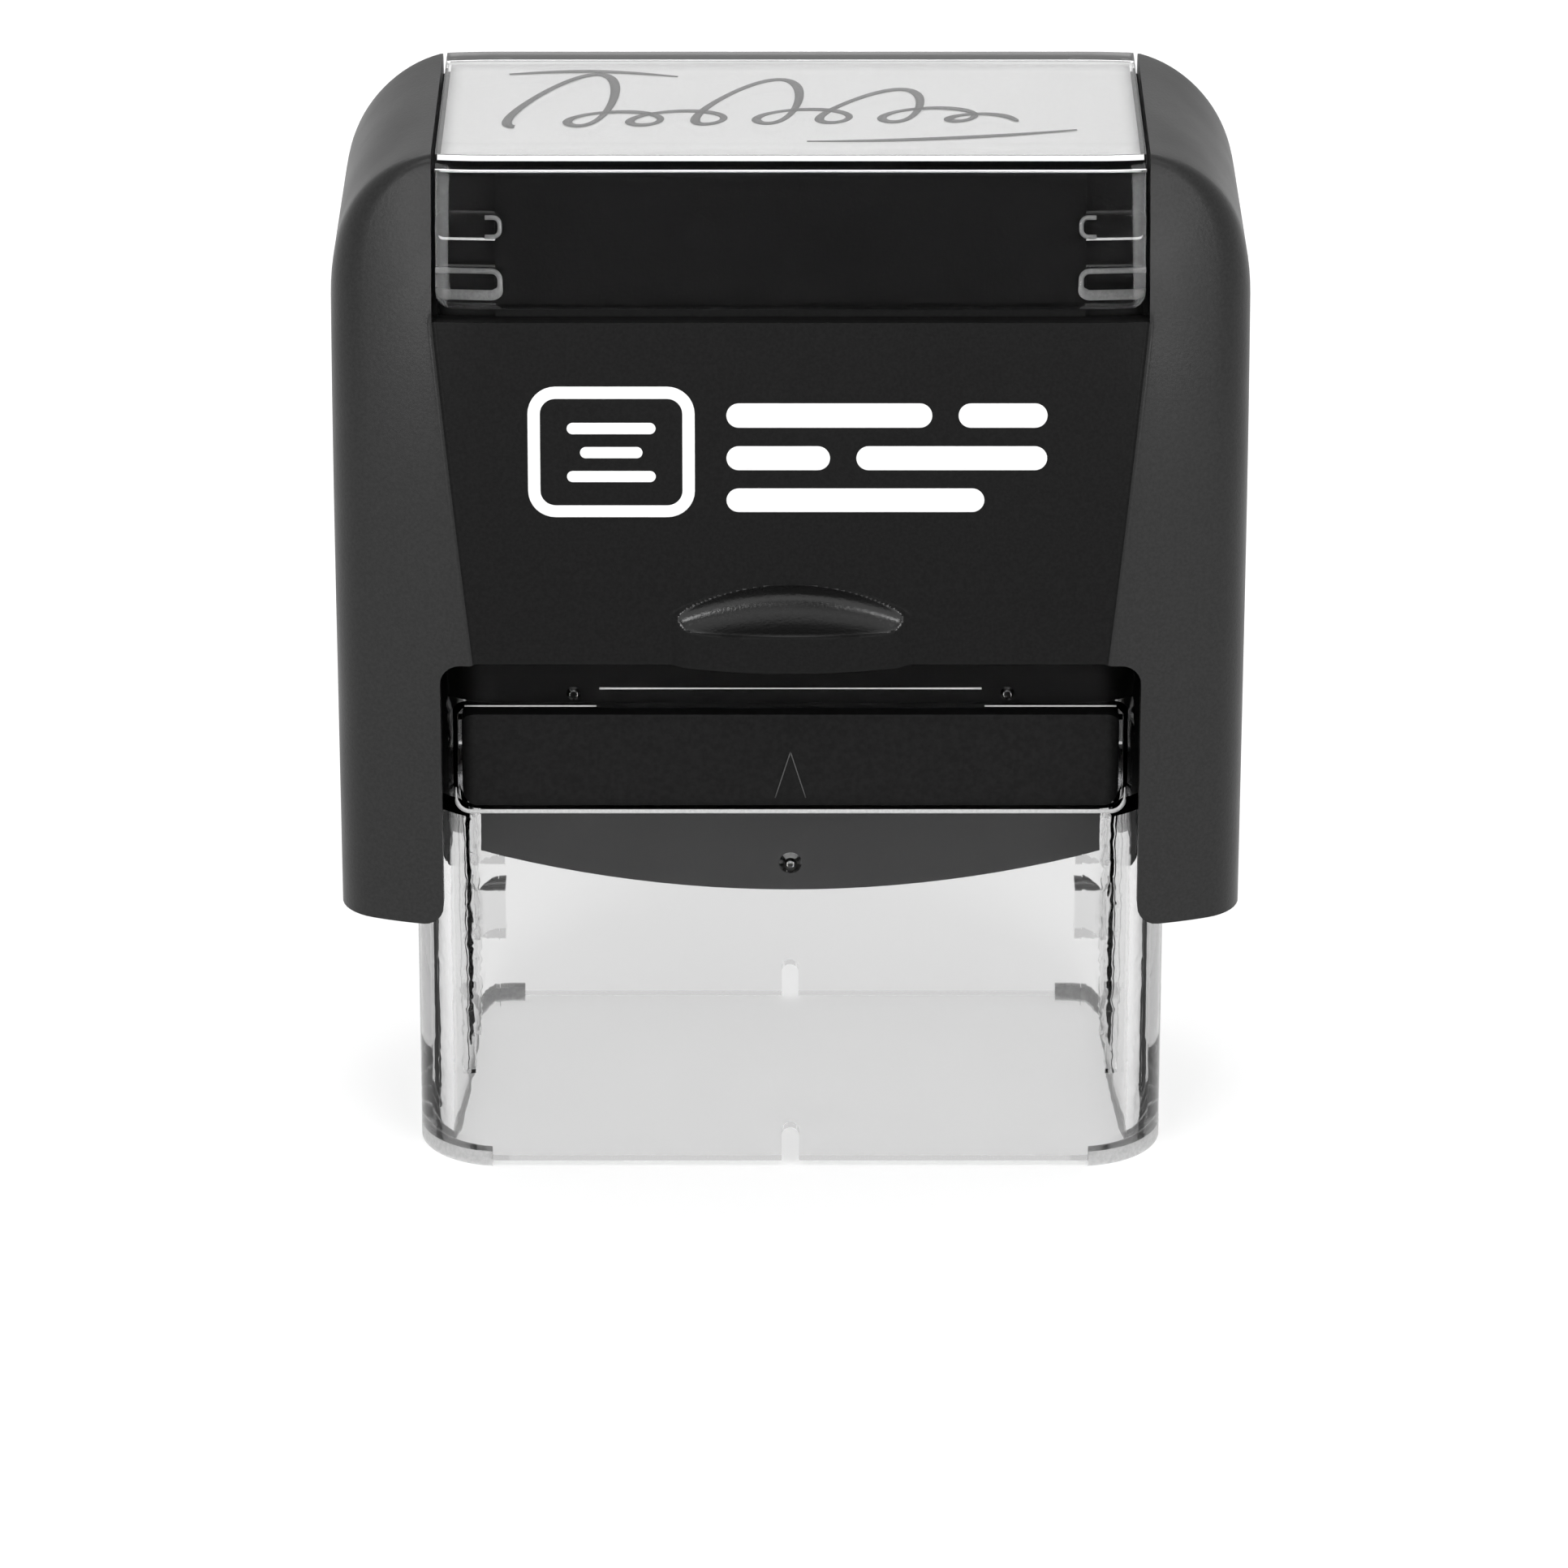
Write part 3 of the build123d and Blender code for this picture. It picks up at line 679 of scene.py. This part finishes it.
def make_cover_edge():
    """A painted highlight: a white strip along the cover's front and back top edges, for the bright line where the
    plastic gathers light.
    """
    bm = bmesh.new()
    half_x = cover_high.x - 0.15
    radius = COVER_EDGE + 0.015
    turn = COVER_EDGE * math.tan((pi / 2 - SADDLE_LEAN) / 2)
    for end in (-1, 1):
        rows = []
        for x in steps(-half_x, half_x, 40):
            base_out = front_face(x, CAP_TOP - turn) - COVER_SINK
            centre_out = base_out - COVER_EDGE * cos(SADDLE_LEAN)
            centre_z = CAP_TOP - turn - COVER_EDGE * sin(SADDLE_LEAN)
            rows.append([(x, -end * (centre_out + radius * cos(tilt)), centre_z + radius * sin(tilt))
                         for tilt in steps(SADDLE_LEAN - 0.2, 1.15, 5)])
        add_grid(bm, rows)
    edge = make_object("cover_edge_highlight", mesh_of(bm, "cover_edge_highlight"), "cover", "clear_cover", EDGE_HIGHLIGHT_WHITE)
    thicken(edge, 0.02)
    return edge


make_cap()
make_core()
make_cover()
make_catches()
make_catch_rims()
make_cover_edge()


# ---------------------------------------------------------------- label, pen line and print

label_low, label_high = node_box("index_label")
LABEL_HALF_X = label_high.x
LABEL_HALF_Y = 8.95


def make_label():
    """The paper card under the cover, bent by a hair."""
    bm = bmesh.new()
    top = label_high.z
    rows = []
    for x in steps(-LABEL_HALF_X, LABEL_HALF_X, 40):
        sag = 0.02 * cos(x / 7.0)
        rows.append([(x, y, top - 0.03 + sag) for y in steps(-LABEL_HALF_Y, LABEL_HALF_Y, 12)])
    add_grid(bm, rows, flip=True)
    label = make_object("label_card", mesh_of(bm, "label_card"), "cap", "label_paper")
    modifier = label.modifiers.new("thickness", "SOLIDIFY")
    modifier.thickness = 0.16 * MM
    modifier.offset = -1
    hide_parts("index_label")
    return label


PEN_TURNS = 8


def flourish_path():
    """A run of loops like a pen being tried out, that spells nothing."""
    points = []
    for part in steps(0, 1, 560):
        angle = 2 * pi * PEN_TURNS * part
        tall = 2.6
        for middle, extra, width in ((0.06, 7.5, 0.05), (0.44, 6.0, 0.05), (0.7, 4.0, 0.04)):
            tall += extra * math.exp(-((part - middle) / width) ** 2)
        fade = 1 - 0.8 * smoothstep((part - 0.84) / 0.16)
        y = -3.6 + 1.2 * part + tall * fade * (0.5 - 0.5 * cos(angle))
        x = -15.8 + 30.5 * part - 1.75 * sin(angle) * fade
        points.append((x + 0.3 * y, y))
    return points


def make_pen_line():
    bm = bmesh.new()
    height = label_high.z + 0.012

    def on_label(u, v):
        return (u, v, height)

    def pressure(part):
        return 0.42 + 0.2 * sin(2 * pi * PEN_TURNS * part + 1.0) ** 2

    ribbon(bm, flourish_path(), pressure, on_label)
    over = [(-17.5 + 10.5 * part, 6.6 + 0.8 * sin(pi * part) - 0.5 * part) for part in steps(0, 1, 30)]
    ribbon(bm, over, lambda part: 0.2 + 0.35 * sin(pi * part), on_label)
    under = [(1.0 + 16.5 * part, -6.4 + 2.2 * part * part) for part in steps(0, 1, 30)]
    ribbon(bm, under, lambda part: 0.2 + 0.35 * sin(pi * part), on_label)
    line = make_object("pen_flourish", mesh_of(bm, "pen_flourish"), "cap", "yoke_plastic", PEN_BLACK)
    thicken(line, 0.01)
    return line


def on_panel(u, v):
    """A point a hair in front of the flat front panel."""
    return (u, -(front_face(u, v) - PANEL_SINK + 0.012), v)


def round_ended(width, length):
    """The width along a bar with round ends."""
    cap_part = width / 2 / length

    def at(part):
        from_end = min(part, 1 - part) / cap_part
        if from_end >= 1:
            return width
        return max(0.04, width * math.sqrt(1 - (1 - from_end) ** 2))
    return at


def print_bar(bm, start_x, end_x, z, width):
    length = end_x - start_x
    half = width / 2
    ends = [half * (1 - cos(angle)) for angle in steps(0, pi / 2, 8)]
    across = [start_x + gap for gap in ends]
    across += steps(start_x + half, end_x - half, 12)[1:-1]
    across += [end_x - gap for gap in reversed(ends)]
    shape = round_ended(width, length)
    pairs = []
    for x in across:
        tall = shape((x - start_x) / length) / 2
        pairs.append((bm.verts.new(on_panel(x, z + tall)), bm.verts.new(on_panel(x, z - tall))))
    for (high, low), (next_high, next_low) in zip(pairs, pairs[1:]):
        bm.faces.new((high, low, next_low, next_high))


def make_front_print():
    """White print on the panel: a plain frame with bars in it, and more bars beside it."""
    bm = bmesh.new()
    frame_z = 48.6
    frame_x = -10.9

    def in_frame(u, v):
        return on_panel(frame_x + u, frame_z + v)

    ribbon(bm, rounded_outline(4.7, 3.7, 1.3, 8, 12), lambda part: 0.75, in_frame, closed=True)
    for offset, half_length in ((1.5, 2.7), (0.0, 1.9), (-1.5, 2.7)):
        print_bar(bm, frame_x - half_length, frame_x + half_length, frame_z + offset, 0.7)
    for offset, bars in ((2.3, ((-3.9, 8.6), (10.2, 15.6))), (-0.35, ((-3.9, 2.4), (4.0, 15.6))),
                         (-3.0, ((-3.9, 11.8),))):
        for start_x, end_x in bars:
            print_bar(bm, start_x, end_x, frame_z + offset, 1.5)
    printed = make_object("front_print", mesh_of(bm, "front_print"), "cap", "label_paper", PRINT_WHITE)
    thicken(printed, 0.012)
    return printed


make_label()
make_pen_line()
make_front_print()


# ---------------------------------------------------------------- spring, ink pad and cushion

def make_spring():
    """A coil spring with a closed turn at each end."""
    low, high = node_box("return_spring")
    wire = 0.45
    radius = high.x - wire
    turns = 10
    per_turn = 28
    around = 10
    bottom, top = low.z + wire, high.z - wire
    rows = []
    for index in range(turns * per_turn + 1):
        turn = index / per_turn
        closed = wire * 2.05
        rise = min(turn, 1) * closed + min(max(turn - (turns - 1), 0), 1) * closed
        active = min(max(turn - 1, 0), turns - 2) / (turns - 2)
        z = bottom + rise + active * (top - bottom - 2 * closed)
        angle = 2 * pi * turn
        outward = Vector((cos(angle), sin(angle), 0))
        centre = outward * radius + Vector((0, 0, z))
        rows.append([centre + wire * (outward * cos(a) + Vector((0, 0, 1)) * sin(a))
                     for a in steps(0, 2 * pi, around)])
    bm = bmesh.new()
    lattice = add_grid(bm, rows)
    bm.faces.new(lattice[0][:-1])
    bm.faces.new(list(reversed(lattice[-1][:-1])))
    bmesh.ops.remove_doubles(bm, verts=bm.verts, dist=0.001)
    bmesh.ops.recalc_face_normals(bm, faces=bm.faces)
    spring = make_object("coil_spring", mesh_of(bm, "coil_spring"), "stand", "spring_steel")
    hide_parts("return_spring")
    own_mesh(spring)
    return spring


def soft_slab(name, node, body, slot_name, rounding, crown, wobble):
    """A pad with rounded edges, a slightly crowned face and a little unevenness."""
    low, high = node_box(node)
    middle_z = (low.z + high.z) / 2
    half_z = (high.z - low.z) / 2
    across = 60
    rows_up, rows_down = [], []
    for x in steps(low.x, high.x, across):
        up, down = [], []
        for y in steps(low.y, high.y, across // 2):
            edge = min(x - low.x, high.x - x, y - low.y, high.y - y)
            rounded = math.sqrt(max(0.0, 1 - (1 - min(1.0, edge / rounding)) ** 2))
            bulge = crown * (1 - (x / high.x) ** 2) * (1 - (y / high.y) ** 2)
            uneven = wobble * (sin(1.9 * x + 0.7 * y) * sin(2.3 * y - 0.4 * x) - 1)
            tall = half_z - rounding * (1 - rounded) - crown + bulge + uneven * rounded
            up.append((x, y, middle_z + tall))
            down.append((x, y, middle_z - tall))
        rows_up.append(up)
        rows_down.append(down)
    bm = bmesh.new()
    top = add_grid(bm, rows_up, flip=True)
    base = add_grid(bm, rows_down)
    for first, second in ((top[0], base[0]), (top[-1], base[-1]),
                          ([row[0] for row in top], [row[0] for row in base]),
                          ([row[-1] for row in top], [row[-1] for row in base])):
        stitch(bm, first, second)
    bmesh.ops.remove_doubles(bm, verts=bm.verts, dist=0.001)
    bmesh.ops.recalc_face_normals(bm, faces=bm.faces)
    slab = make_object(name, mesh_of(bm, name), body, slot_name)
    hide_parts(node)
    return slab


make_spring()
soft_slab("felt_ink_pad", "ink_pad", "stand", "pad_felt", 0.5, 0.15, 0.03)
soft_slab("foam_cushion", "die_cushion", "platen", "cushion_foam", 0.2, 0.0, 0.01)


# ---------------------------------------------------------------- marks on the cartridge and the stand, and painted highlights round the stand's window

def make_cartridge_mark():
    """A tall thin outline of a triangle, raised on the cartridge's front, that shows how it goes in."""
    low, high = node_box("cartridge_tray")
    bm = bmesh.new()

    def on_face(u, v):
        return (u, low.y - 0.01, v)

    apex = (0, 28.0)
    for side in (-1, 1):
        path = [(side * 0.95 * (1 - part), low.z + 0.5 + (apex[1] - low.z - 0.5) * part) for part in steps(0, 1, 8)]
        ribbon(bm, path, lambda part: 0.07, on_face)
    bmesh.ops.recalc_face_normals(bm, faces=bm.faces)
    mark = make_object("cartridge_mark", mesh_of(bm, "cartridge_mark"), "stand", "tray_plastic", MATERIALS["platen_plastic"])
    thicken(mark, 0.06)
    return mark


WINDOW_HALF_X = 20.65
WINDOW_BOTTOM = 24.3
WINDOW_TOP = 31.05


def wall_y(z):
    """The outer face of the stand's front wall."""
    return -(13.3 - z / 36)


def dome(bm, x, y, z, radius, height, rings=5, around=20):
    """A low round button on the stand's front wall."""
    rows = []
    for angle in steps(pi / 2, 0.05, rings):
        reach = radius * sin(angle)
        rows.append([(x + reach * cos(a), y - height * cos(angle), z + reach * sin(a))
                     for a in steps(0, 2 * pi, around)])
    lattice = add_grid(bm, rows)
    bm.faces.new(lattice[-1][:-1])
    bm.faces.new(list(reversed(lattice[0][:-1])))


def make_wall_marks():
    """The round gate mark in the middle of the stand's front wall, and two small buttons above."""
    bm = bmesh.new()
    gate_z = 20.7
    dome(bm, 0, wall_y(gate_z) + 0.02, gate_z, 0.72, 0.12)
    dome(bm, 0, wall_y(gate_z) - 0.08, gate_z, 0.4, 0.14)
    for x in (-13.4, 13.4):
        dome(bm, x, wall_y(32.0) + 0.02, 32.0, 0.45, 0.15)
    bmesh.ops.remove_doubles(bm, verts=bm.verts, dist=0.001)
    bmesh.ops.recalc_face_normals(bm, faces=bm.faces)
    return make_object("wall_marks", mesh_of(bm, "wall_marks"), "stand", "clear_stand")


def make_window_lines():
    """Painted highlights: grey strips along the window's edges and a line across the wall at the deck's lip, for the
    bright lines where the stand's plastic gathers light.
    """
    bm = bmesh.new()

    def on_wall(u, v):
        return (u, wall_y(v) - 0.02, v)

    half_x = WINDOW_HALF_X + 0.1
    corner = 0.9
    low = WINDOW_BOTTOM - 0.12
    right = [(half_x, low + 1.6)]
    right += [(half_x - corner * (1 - cos(angle)), low + corner * (1 - sin(angle))) for angle in steps(0, pi / 2, 8)]
    path = [(-x, z) for x, z in right] + [(x, low) for x in steps(-half_x + corner, half_x - corner, 12)[1:-1]]
    path += list(reversed(right))

    def thin_at_ends(part):
        return 0.06 + 0.2 * smoothstep(min(part, 1 - part) / 0.1)

    ribbon(bm, path, thin_at_ends, on_wall)
    for side in (-1, 1):
        upper = [(side * x, WINDOW_TOP + 0.14) for x in steps(12.0, WINDOW_HALF_X - 0.5, 8)]
        ribbon(bm, upper, lambda part: 0.09, on_wall)
    ledge = [(x, 32.35) for x in steps(-11.8, 11.8, 16)]
    ribbon(bm, ledge, lambda part: 0.13 - 0.05 * sin(pi * part), on_wall)
    # Painted highlight: the lines take the grey highlight material.
    lines = make_object("window_highlight_lines", mesh_of(bm, "window_highlight_lines"), "stand", "clear_stand", EDGE_HIGHLIGHT_GREY)
    thicken(lines, 0.03)
    return lines


make_cartridge_mark()
make_wall_marks()
make_window_lines()


# ---------------------------------------------------------------- carried-over CAD nodes

for row in frame["record"]["subparts"]:
    node = frame["nodes"][row["node"]]
    node.data.materials.clear()
    node.data.materials.append(MATERIALS[row["material_slot"]])

for name, width in (("stand_frame", 0.2), ("deck_plate", 0.15), ("cartridge_tray", 0.2), ("platen", 0.25), ("yoke", 0.2),
                    ("foot_left", 0.15), ("foot_right", 0.15), ("text_plate", 0.06),
                    ("axle_pin_left", 0.2), ("axle_pin_right", 0.2)):
    soften(frame["nodes"][name], width)


# ---------------------------------------------------------------- set

def plane(name, size, location):
    mesh = bpy.data.meshes.new(name)
    half = size / 2
    corners = [(-half, -half, 0), (half, -half, 0), (half, half, 0), (-half, half, 0)]
    mesh.from_pydata(corners, [], [(0, 1, 2, 3)])
    thing = bpy.data.objects.new(name, mesh)
    bpy.context.scene.collection.objects.link(thing)
    thing.location = location
    return thing


floor = plane("floor", 6, (0, 0, 0))
floor_material, floor_tree, floor_shader = new_material("floor")
tint(floor_tree, floor_shader, noise(floor_tree, 0.01), [0.42] * 3, [0.44] * 3)
floor_shader.inputs["Roughness"].default_value = 0.9
floor_shader.inputs["Specular IOR Level"].default_value = 0.1
floor_shader.inputs["Emission Color"].default_value = (1, 1, 1, 1)
floor_shader.inputs["Emission Strength"].default_value = 0.58
floor.data.materials.append(floor_material)


def studio_world(low_front, low_back, top):
    """A white surround: bright low down behind and at the sides, dimmer in front and overhead."""
    world = bpy.data.worlds.new("world")
    bpy.context.scene.world = world
    world.use_nodes = True
    tree = world.node_tree
    background = tree.nodes["Background"]
    place = tree.nodes.new("ShaderNodeTexCoord")
    split = tree.nodes.new("ShaderNodeSeparateXYZ")
    tree.links.new(place.outputs["Generated"], split.inputs["Vector"])

    def ramp(source, start, end, low, high):
        remap = tree.nodes.new("ShaderNodeMapRange")
        remap.interpolation_type = "SMOOTHSTEP"
        remap.inputs["From Min"].default_value = start
        remap.inputs["From Max"].default_value = end
        for name, value in (("To Min", low), ("To Max", high)):
            if isinstance(value, float):
                remap.inputs[name].default_value = value
            else:
                tree.links.new(value, remap.inputs[name])
        tree.links.new(source, remap.inputs["Value"])
        return remap.outputs["Result"]

    low_down = ramp(split.outputs["Y"], -0.93, -0.6, low_front, low_back)
    strength = ramp(split.outputs["Z"], 0.45, 0.9, low_down, top)
    tree.links.new(strength, background.inputs["Strength"])
    background.inputs["Color"].default_value = (1, 1, 1, 1)


def area_light(name, radiance, size, location, target):
    """A rectangular light. The radiance is that of its face."""
    data = bpy.data.lights.new(name, "AREA")
    data.shape = "RECTANGLE"
    data.size, data.size_y = size
    data.energy = pi * size[0] * size[1] * radiance
    lamp = bpy.data.objects.new(name, data)
    bpy.context.scene.collection.objects.link(lamp)
    lamp.location = location
    lamp.rotation_euler = (Vector(target) - Vector(location)).to_track_quat("-Z", "Y").to_euler()


MIDDLE = (0, 0, 0.04)
studio_world(0.1, 0.82, 0.78)
area_light("upper_back", 2.6, (0.9, 0.3), (0, 0.5, 0.62), MIDDLE)
for side in (-1, 1):
    area_light("upper_front", 9, (0.16, 0.16), (side * 0.3, -0.3, 0.62), MIDDLE)
    area_light("lower_front", 10, (0.28, 0.28), (side * 0.34, -0.7, 0.25), MIDDLE)

CAMERA_DISTANCE = 0.517
CAMERA_ELEVATION = radians(23.2)
CAMERA_TARGET = Vector((-0.0004, 0, 0.0206))
camera_data = bpy.data.cameras.new("camera")
camera_data.sensor_width = 36
camera_data.lens = 186.2
camera_data.clip_start = 0.01
camera = bpy.data.objects.new("camera", camera_data)
bpy.context.scene.collection.objects.link(camera)
toward_camera = Vector((0, -cos(CAMERA_ELEVATION), sin(CAMERA_ELEVATION)))
camera.location = CAMERA_TARGET + CAMERA_DISTANCE * toward_camera
camera.rotation_euler = (pi / 2 - CAMERA_ELEVATION, 0, 0)
bpy.context.scene.camera = camera
bpy.context.scene.view_settings.view_transform = "Standard"
